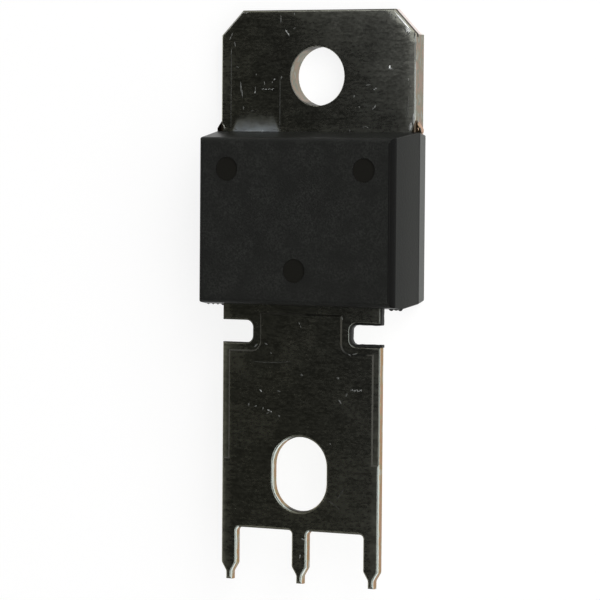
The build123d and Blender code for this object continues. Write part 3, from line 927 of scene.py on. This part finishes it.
# %% Draw the burrs
CHAMFER_TOP = Vector((TAB_HALF - CHAMFER_ACROSS, TAB_END))
CHAMFER_FOOT = Vector((TAB_HALF, TAB_END - CHAMFER_DOWN))


def along_chamfer(share_from, share_to, inside, points=15):
    """Points along the right corner cut, inside its edge by so many mm."""
    way = (CHAMFER_FOOT - CHAMFER_TOP).normalized()
    inward = Vector((way.y, -way.x))
    return between(CHAMFER_TOP.lerp(CHAMFER_FOOT, share_from) + inward * inside,
                   CHAMFER_TOP.lerp(CHAMFER_FOOT, share_to) + inward * inside, points)


bright_highlight_ridges = bmesh.new()
ridge(bright_highlight_ridges, along_chamfer(0.05, 0.86, 0.165), 0.06, 0.025, TAB_FACE, taper=0.5)
for inside, share_from, share_to in ((0.26, 0.60, 0.86), (0.35, 0.64, 0.84), (0.43, 0.68, 0.80)):
    ridge(bright_highlight_ridges, along_chamfer(share_from, share_to, inside, 9), 0.05, 0.02, TAB_FACE)
scuff(bright_highlight_ridges, 5.49, 0.61, 0.26, 0.15, 75, TAB_FACE)
piece_of("tab_burr_bright_painted_highlight", bright_highlight_ridges, burr_bright_painted_highlight)

scuffs("tab_corner_scuffs", [
    (6.58, 3.24, 0.30, 0.14, 120), (6.66, 3.05, 0.34, 0.15, 60), (6.80, 2.98, 0.42, 0.13, 100),
    (6.92, 2.88, 0.28, 0.11, 60), (7.34, 2.84, 0.34, 0.16, 95), (7.30, 2.62, 0.26, 0.10, 85),
    (6.60, 2.80, 0.30, 0.10, 70), (5.20, 4.40, 0.16, 0.09, 100), (5.45, 4.33, 0.22, 0.11, 60),
    (5.62, 4.22, 0.18, 0.10, 110), (5.49, 4.15, 0.24, 0.14, 16), (5.90, 4.02, 0.20, 0.09, 120),
], [(4.95, 4.42, 0.40, 0.10)], TAB_FACE, faint_scuff)

burrs = bmesh.new()
left_cut = [(-x, y) for x, y in along_chamfer(0.03, 0.99, 0.10)]
ridge(burrs, left_cut, 0.045, 0.018, TAB_FACE - 0.002 * MM, taper=0.3)
ridge(burrs, between((-7.41, -3.28), (-7.15, -3.74), 9, 0.03), 0.05, 0.03, TAB_FACE - 0.004 * MM)
piece_of("tab_burrs", burrs, burr_faint_painted_highlight)

# %% The knock beside the right ear
knock = bmesh.new()
ridge(knock, between((7.03, -3.76), (7.14, -3.14), 9), 0.15, 0.030, TAB_FACE)
ridge(knock, between((7.30, -3.34), (7.31, -2.50), 9), 0.10, 0.040, TAB_FACE, taper=0.8)
piece_of("ear_knock", knock, bright_scuff)

EAR_TOP = 1.13 * MM  # the ears are thinner than the tab
torn_copper = mark_finish("torn_copper", (0.34, 0.25, 0.13), (0.46, 0.32, 0.24))
scuffs("ear_copper", [
    (7.60, -3.30, 0.22, 0.12, 95), (7.66, -3.42, 0.26, 0.10, 110), (7.62, -3.62, 0.24, 0.12, 100),
], [], EAR_TOP, torn_copper)

# %% [markdown]
# ## Resin where it should not be
# When the body was moulded, a skin of resin crept along the side of the neck and round the walls
# of the right slot, and it is still there as a dark lining. Where the two halves of the mould met,
# at the bottom edge, a few beads of flash were left as well.

# %% Lay the lining along the neck and round the slot
SLOT_TOP, SLOT_BOTTOM = -16.96, -18.51  # mm
SLOT_END, SLOT_ROUND = 3.74, 0.50
LINING_LOW, LINING_HIGH = 3.16, 3.60  # mm, its height in the slot
LINING_GRIP = 0.02  # how far it reaches into the copper


def lining_stations():
    """(x, y, outward turn in degrees, thickness) along the walls, from the body to the open end."""
    rows = [(LEAD_HALF, y, 0, 0.065) for y in (-15.86, -16.1, -16.4, -16.7, -16.9)]
    rows += [(LEAD_HALF, SLOT_TOP, turn, 0.07) for turn in (-25, -50, -75)]
    rows += [(x, SLOT_TOP, -90, 0.085) for x in (5.9, 5.6, 5.3, 5.0, 4.7, 4.45)]
    for first, middle, thick, gain in ((90, SLOT_TOP - SLOT_ROUND, 0.095, 0.0),
                                       (180, SLOT_BOTTOM + SLOT_ROUND, 0.10, 0.0004)):
        for turn in range(0, 91, 15):
            angle = math.radians(first + turn)
            rows.append((SLOT_END + SLOT_ROUND + SLOT_ROUND * math.cos(angle),
                         middle + SLOT_ROUND * math.sin(angle), first + turn - 180, thick + gain * turn))
    rows += [(x, SLOT_BOTTOM, 90, 0.14 + 0.02 * (x - SLOT_END) ** 0.5)
             for x in (4.5, 4.8, 5.1, 5.4, 5.7, 5.95, 6.08, 6.15)]
    return rows


lining = bmesh.new()
rings = []
for number, (x, y, turn, thick) in enumerate(lining_stations()):
    out = Vector((math.cos(math.radians(turn)), math.sin(math.radians(turn))))
    thick += 0.010 * math.sin(2.3 * number)
    rings.append([lining.verts.new(Vector((x + out.x * reach, y + out.y * reach, height)) * MM)
                  for reach, height in ((-LINING_GRIP, LINING_LOW), (thick, LINING_LOW),
                                        (thick, LINING_HIGH - 0.10), (0.6 * thick, LINING_HIGH - 0.02),
                                        (-LINING_GRIP, LINING_HIGH))])
stitch(lining, rings)
lining.faces.new(rings[0])
lining.faces.new(rings[-1])
piece_of("slot_bleed", lining, body_finish)

# %% Beads of flash on the bottom edge
FLASH_LEVEL = 3.38  # mm, where the halves of the mould met
FLASH_GRIP = 0.06  # mm, how far a bead reaches into the body


def flash_bead(mesh, x, half_length, depth, level=FLASH_LEVEL, half_height=0.07):
    """A small lump hanging from the bottom wall, thickest in the middle."""
    root, far = BODY_BOTTOM + FLASH_GRIP, FLASH_GRIP + depth
    rows = []
    for number in range(1, 8):
        swell = math.sin(math.pi * number / 8) ** 0.7
        place = x + half_length * (number / 4 - 1)
        rows.append([mesh.verts.new(Vector((place, root - reach * swell, level + rise * swell)) * MM)
                     for reach, rise in ((0.0, half_height), (far, 0.3 * half_height),
                                         (far, -0.3 * half_height), (0.0, -half_height))])
    spindle(mesh, rows, [Vector((tip, root, level)) * MM for tip in (x - half_length, x + half_length)])


beads = bmesh.new()
for x, half_length, depth in ((-7.30, 0.14, 0.045), (-6.92, 0.12, 0.05), (-6.55, 0.13, 0.05),
                              (-6.16, 0.16, 0.09), (6.74, 0.22, 0.11), (7.10, 0.26, 0.07),
                              (7.40, 0.20, 0.10), (-0.37, 0.14, 0.03), (-2.80, 0.12, 0.04)):
    flash_bead(beads, x, half_length, depth)
piece_of("mould_flash", beads, body_finish)

# %% [markdown]
# ## Studio floor
# The part lies on a white sweep: flat in the middle, curved up all round like a shallow bowl, so
# low views and shiny edges find white paper too. Camera, glossy and transmission rays see most
# of its white as light of its own, the way a lit drawing table looks. Other rays see plain paper,
# so it lights the part as paper does, and a soft shadow stays under the part.

# %% Build the sweep
FLAT_RADIUS = 0.75  # m
SWEEP_RADIUS = 0.35  # m
SWEEP_CURVE = 62.0  # degrees
SWEEP_STEPS = 12
RING_POINTS = 96


def sweep_profile():
    """Distance from the middle and height, from the flat's edge up the curve."""
    for step in range(SWEEP_STEPS + 1):
        angle = math.radians(SWEEP_CURVE) * step / SWEEP_STEPS
        yield (FLAT_RADIUS + SWEEP_RADIUS * math.sin(angle),
               SWEEP_RADIUS * (1 - math.cos(angle)))


def build_floor():
    mesh = bmesh.new()
    rings = []
    for radius, height in sweep_profile():
        rings.append([mesh.verts.new((radius * math.cos(turn), radius * math.sin(turn), height))
                      for turn in (2 * math.pi * k / RING_POINTS for k in range(RING_POINTS))])
    mesh.faces.new(rings[0])
    for inner, outer in zip(rings, rings[1:]):
        for k in range(RING_POINTS):
            nxt = (k + 1) % RING_POINTS
            mesh.faces.new((inner[k], outer[k], outer[nxt], inner[nxt])).smooth = True
    data = bpy.data.meshes.new("floor")
    mesh.to_mesh(data)
    mesh.free()
    return bpy.data.objects.new("floor", data)


floor = build_floor()
bpy.context.scene.collection.objects.link(floor)
print("floor across:", round(2 * (FLAT_RADIUS + SWEEP_RADIUS), 2), "m")

# %% White paper that looks white
PAPER = (0.90, 0.90, 0.895)
PAPER_LIGHT = (0.92, 0.92, 0.92)
PAPER_GLOW = 0.86  # how much light of its own it has where it is seen
PAPER_REST = 0.19  # and how much of its white is left there for other light


def paper_finish():
    finish, tree, shader = start_finish("white_paper")
    fibres = cloud(tree, millimetres(tree), 0.05, 2.0)
    shader.inputs["Roughness"].default_value = 0.9
    shader.inputs["Specular IOR Level"].default_value = 0.1
    rays = add(tree, "ShaderNodeLightPath").outputs
    seen = plus(tree, *(rays[f"Is {kind} Ray"] for kind in ("Camera", "Glossy", "Transmission")))
    seen = calc(tree, "MINIMUM", seen, 1.0)
    paper = blend_colours(tree, fibres, PAPER, PAPER_LIGHT)
    rest = tuple(PAPER_REST * share for share in PAPER)
    feed(tree, shader.inputs["Base Color"], blend_colours(tree, seen, paper, rest))
    shader.inputs["Emission Color"].default_value = (1, 1, 1, 1)
    feed(tree, shader.inputs["Emission Strength"], times(tree, seen, PAPER_GLOW))
    return finish


floor.data.materials.append(paper_finish())

# %% [markdown]
# ## Lamps
# Flat nickel acts as a mirror, and what it mirrors decides how it looks. The faces here look
# almost black because nothing bright stands above the part on the left, where they look. The
# softboxes stand to the right, one turned towards the tab's end, low enough to stay out of that
# mirror, and they draw bright lines along every rolled edge that turns to the right.

# %% Hang the softboxes
AIM = Vector((0.0, -15.0, 2.0)) * MM


def softbox(name, azimuth, elevation, distance, width, height, watts):
    """A soft lamp that faces the part. Azimuth 0 is on +X, 90 on +Y."""
    lamp = bpy.data.lights.new(name, "AREA")
    lamp.shape = "RECTANGLE"
    lamp.size, lamp.size_y = width, height
    lamp.energy = watts
    holder = bpy.data.objects.new(name, lamp)
    around, above = math.radians(azimuth), math.radians(elevation)
    way = Vector((math.cos(around) * math.cos(above), math.sin(around) * math.cos(above),
                  math.sin(above)))
    holder.location = AIM + way * distance
    holder.rotation_euler = way.to_track_quat("Z", "Y").to_euler()
    bpy.context.scene.collection.objects.link(holder)
    return holder


softboxes = [
    softbox("key_right", 0, 42, 0.60, 1.00, 0.60, 4.2),
    softbox("side_top_right", 48, 30, 0.60, 0.30, 0.30, 1.2),
]
for box in softboxes:
    print(f"{box.name}: {box.data.energy} W")

# %% The room's own dim light
ROOM_DARK = 0.012
ROOM_BRIGHT = 0.60
BRIGHT_SIDE = Vector((0.80, 0.28, 0.53)).normalized()


def light_room(name):
    """A dark room that grows lighter towards its bright side, as beside a window."""
    world = bpy.data.worlds.new(name)
    world.use_nodes = True
    tree = world.node_tree
    toward = add(tree, "ShaderNodeVectorMath", operation="DOT_PRODUCT")
    feed(tree, toward.inputs[0], add(tree, "ShaderNodeTexCoord").outputs["Generated"])
    feed(tree, toward.inputs[1], tuple(BRIGHT_SIDE))
    feed(tree, tree.nodes["Background"].inputs["Color"], (1.0, 1.0, 1.0, 1.0))
    feed(tree, tree.nodes["Background"].inputs["Strength"],
         fade(tree, toward.outputs["Value"], 0.35, 1.0, ROOM_DARK, ROOM_BRIGHT))
    return world


bpy.context.scene.world = light_room("room")
bpy.context.scene.view_settings.view_transform = "Standard"
print("room light from", ROOM_DARK, "to", ROOM_BRIGHT)
